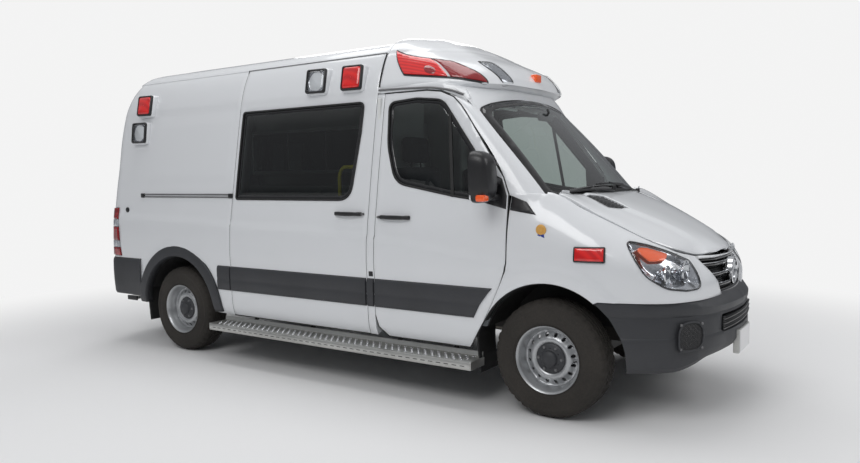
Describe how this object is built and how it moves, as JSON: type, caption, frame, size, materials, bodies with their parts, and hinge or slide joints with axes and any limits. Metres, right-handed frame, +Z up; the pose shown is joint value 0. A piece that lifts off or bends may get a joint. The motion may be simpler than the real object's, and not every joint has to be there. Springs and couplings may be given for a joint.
{
  "type": "van ambulance",
  "caption": "High-roof panel van ambulance with a front warning-light cap, sliding side door, hinged rear doors and running boards; wheels roll and steer, doors and bonnet open.",
  "frame": {"origin": "on the ground, midway between the front plate face and the rear step's edge, and midway across", "axes": "+X forward, +Y to the vehicle's left, +Z up"},
  "size_m": [5.82, 2.414, 2.681],
  "materials": {
    "body_white": "gloss",
    "tyre": "matte",
    "wheel_silver": "satin metallic",
    "dark_glass": "gloss",
    "screen_glass": "gloss",
    "black_plastic": "grained",
    "black_rubber": "matte",
    "clear_lens": "clear",
    "red_lens": "clear red",
    "tread_aluminium": "brushed tread",
    "seat_cloth": "woven",
    "floor_covering": "speckled sheet",
    "pale_laminate": "laminate",
    "cast_metal": "as cast",
    "chassis_black": "satin",
    "exhaust_steel": "dull"
  },
  "bodies": {
    "body": {"floor": "floor_covering", "chassis_frame": "chassis_black", "engine": "cast_metal", "fuel_tank": "chassis_black", "exhaust": "exhaust_steel", "front_axle": "chassis_black", "rear_axle": "chassis_black", "body_side_left": "body_white", "body_side_right": "body_white", "roof": "body_white", "rear_frame": "body_white", "cab_frame": "body_white", "wheel_housings": "black_rubber", "roof_cap": "body_white", "sliding_door": "body_white", "sliding_door_glass": "dark_glass", "windscreen": "screen_glass", "wings": "body_white", "grille": "black_plastic", "front_bumper": "black_plastic", "headlights": "clear_lens", "tail_lights": "red_lens", "rear_step": "tread_aluminium", "side_steps": "tread_aluminium", "mudflaps": "black_rubber", "warning_lights": "red_lens", "bulkhead": "pale_laminate", "cab_seats": "seat_cloth", "dashboard": "black_plastic", "care_fittings": "pale_laminate"},
    "left_knuckle": {"left_knuckle": "chassis_black"},
    "right_knuckle": {"right_knuckle": "chassis_black"},
    "front_left_wheel": {"front_left_rim": "wheel_silver", "front_left_tyre": "tyre"},
    "front_right_wheel": {"front_right_rim": "wheel_silver", "front_right_tyre": "tyre"},
    "rear_left_wheel": {"rear_left_rim": "wheel_silver", "rear_left_tyre": "tyre"},
    "rear_right_wheel": {"rear_right_rim": "wheel_silver", "rear_right_tyre": "tyre"},
    "front_door_left": {"front_door_left": "body_white", "front_door_glass_left": "dark_glass", "mirror_left": "black_plastic"},
    "front_door_right": {"front_door_right": "body_white", "front_door_glass_right": "dark_glass", "mirror_right": "black_plastic"},
    "rear_door_left": {"rear_door_left": "body_white", "rear_door_glass_left": "dark_glass"},
    "rear_door_right": {"rear_door_right": "body_white", "rear_door_glass_right": "dark_glass"},
    "bonnet": {"bonnet": "body_white"}
  },
  "joints": [
    {"name": "steer_left", "type": "hinge", "parent": "body", "child": "left_knuckle", "pos_m": [1.905, 0.7725, 0.387], "axis": [0, 0, 1], "range_deg": [-35, 35]},
    {"name": "steer_right", "type": "hinge", "parent": "body", "child": "right_knuckle", "pos_m": [1.905, -0.7725, 0.387], "axis": [0, 0, 1], "range_deg": [-35, 35]},
    {"name": "front_left_spin", "type": "hinge", "parent": "left_knuckle", "child": "front_left_wheel", "pos_m": [1.905, 0.8575, 0.387], "axis": [0, 1, 0], "continuous": true},
    {"name": "front_right_spin", "type": "hinge", "parent": "right_knuckle", "child": "front_right_wheel", "pos_m": [1.905, -0.8575, 0.387], "axis": [0, 1, 0], "continuous": true},
    {"name": "rear_left_spin", "type": "hinge", "parent": "body", "child": "rear_left_wheel", "pos_m": [-1.76, 0.8575, 0.387], "axis": [0, 1, 0], "continuous": true},
    {"name": "rear_right_spin", "type": "hinge", "parent": "body", "child": "rear_right_wheel", "pos_m": [-1.76, -0.8575, 0.387], "axis": [0, 1, 0], "continuous": true},
    {"name": "front_door_left_swing", "type": "hinge", "parent": "body", "child": "front_door_left", "pos_m": [1.625, 1.001, 1], "axis": [0, 0, -1], "range_deg": [0, 67]},
    {"name": "front_door_right_swing", "type": "hinge", "parent": "body", "child": "front_door_right", "pos_m": [1.625, -1.001, 1], "axis": [0, 0, 1], "range_deg": [0, 67]},
    {"name": "rear_door_left_swing", "type": "hinge", "parent": "body", "child": "rear_door_left", "pos_m": [-2.808, 0.766, 1], "axis": [0, 0, -1], "range_deg": [0, 180]},
    {"name": "rear_door_right_swing", "type": "hinge", "parent": "body", "child": "rear_door_right", "pos_m": [-2.808, -0.766, 1], "axis": [0, 0, 1], "range_deg": [0, 180]},
    {"name": "bonnet_lift", "type": "hinge", "parent": "body", "child": "bonnet", "pos_m": [1.905, 0, 1.434], "axis": [0, -1, 0], "range_deg": [0, 50]}
  ],
  "couplings": [
    {"joint": "steer_right", "follows": "steer_left", "ratio": 1}
  ]
}
